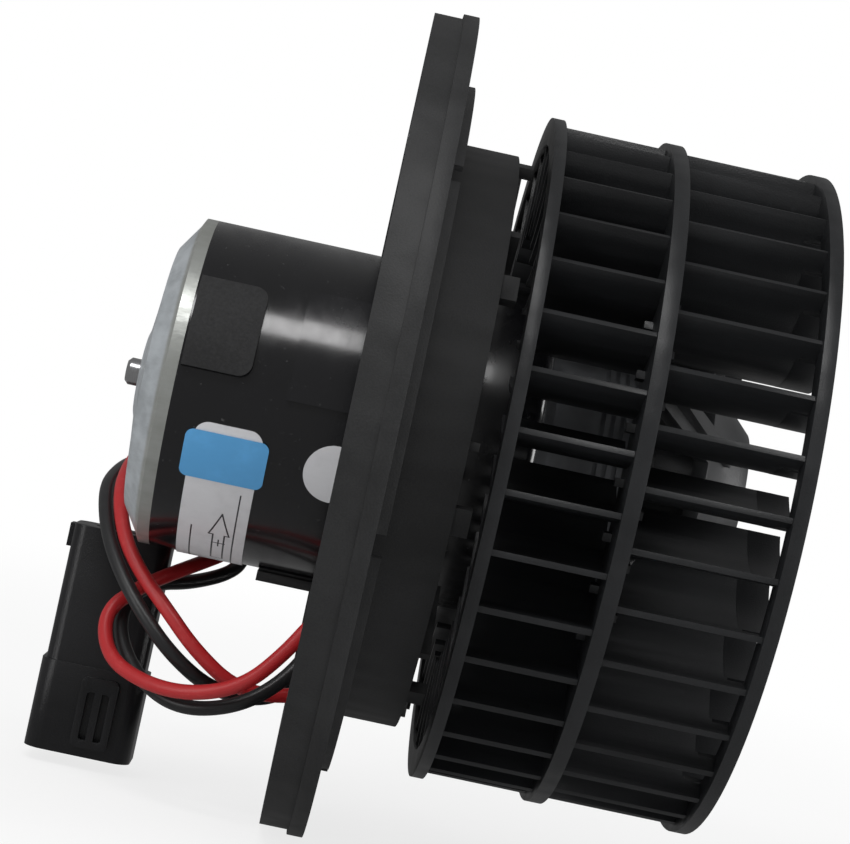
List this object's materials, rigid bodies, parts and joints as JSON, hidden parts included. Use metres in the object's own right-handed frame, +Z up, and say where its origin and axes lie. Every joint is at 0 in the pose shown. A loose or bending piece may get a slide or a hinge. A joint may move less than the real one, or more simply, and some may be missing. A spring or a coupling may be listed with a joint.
{
  "type": "cabin blower motor",
  "caption": "Vehicle cabin blower: flanged brushed motor with a two-stage squirrel-cage wheel, two looped leads and a plug.",
  "frame": {"origin": "on the shaft axis, in the wheel-side face of the flange plate", "axes": "+X along the shaft from the motor's rear to the wheel's inlet, +Z up, -Y towards the labelled side"},
  "size_m": [0.1543, 0.191, 0.191],
  "materials": {
    "can_black": "gloss black paint",
    "zinc": "zinc plated pressing",
    "steel": "ground steel",
    "bronze": "sintered bronze",
    "casting": "die-cast aluminium",
    "felt": "oiled wool felt",
    "phenolic": "phenolic sheet",
    "ferrite": "ferrite",
    "core_steel": "laminated steel",
    "copper": "enamelled copper wire",
    "brass": "pressed brass",
    "carbon": "carbon and copper",
    "flange_black": "filled polypropylene",
    "rubber": "soft rubber",
    "foam": "matte foam",
    "paper": "white film label",
    "blue_film": "blue film label",
    "wheel_black": "moulded polypropylene",
    "red_pvc": "red PVC insulation",
    "black_pvc": "black PVC insulation",
    "connector_black": "moulded polyamide",
    "tin": "tinned brass"
  },
  "bodies": {
    "housing": {"motor_can": "can_black", "rear_end_cap": "zinc", "rear_bearing": "bronze", "front_bearing": "bronze", "rear_bearing_retainer": "zinc", "front_bearing_retainer": "zinc", "front_bearing_housing": "casting", "oil_felts": "felt", "upper_magnet": "ferrite", "lower_magnet": "ferrite", "magnet_clips": "steel", "brush_card": "phenolic", "upper_brush_box": "brass", "lower_brush_box": "brass", "upper_brush_spring": "steel", "lower_brush_spring": "steel", "mounting_flange": "flange_black", "screw_bushes": "zinc", "isolation_ring": "rubber", "near_flux_plate": "can_black", "far_flux_plate": "can_black", "can_pad": "foam", "rating_label": "paper", "blue_sticker": "blue_film", "balance_mark": "paper", "lead_grommet": "rubber", "red_lead": "red_pvc", "black_lead": "black_pvc", "connector_housing": "connector_black", "connector_lock": "connector_black", "wire_seals": "rubber", "blade_terminals": "tin"},
    "rotor": {"shaft": "steel", "thrust_washers": "phenolic", "armature_stack": "core_steel", "armature_windings": "copper", "commutator": "copper", "blower_wheel": "wheel_black", "hub_insert": "steel", "wheel_clip": "steel"},
    "upper_brush": {"upper_brush": "carbon"},
    "lower_brush": {"lower_brush": "carbon"}
  },
  "joints": [
    {"name": "rotor_spin", "type": "hinge", "parent": "housing", "child": "rotor", "pos_m": [0, 0, 0], "axis": [1, 0, 0], "continuous": true},
    {"name": "upper_brush_slide", "type": "slide", "parent": "housing", "child": "upper_brush", "axis": [0, 0, 1], "range_m": [0, 0.003], "stiffness_N_per_m": 300, "springref_m": -0.01, "deforming": ["upper_brush_spring"]},
    {"name": "lower_brush_slide", "type": "slide", "parent": "housing", "child": "lower_brush", "axis": [0, 0, -1], "range_m": [0, 0.003], "stiffness_N_per_m": 300, "springref_m": -0.01, "deforming": ["lower_brush_spring"]}
  ]
}
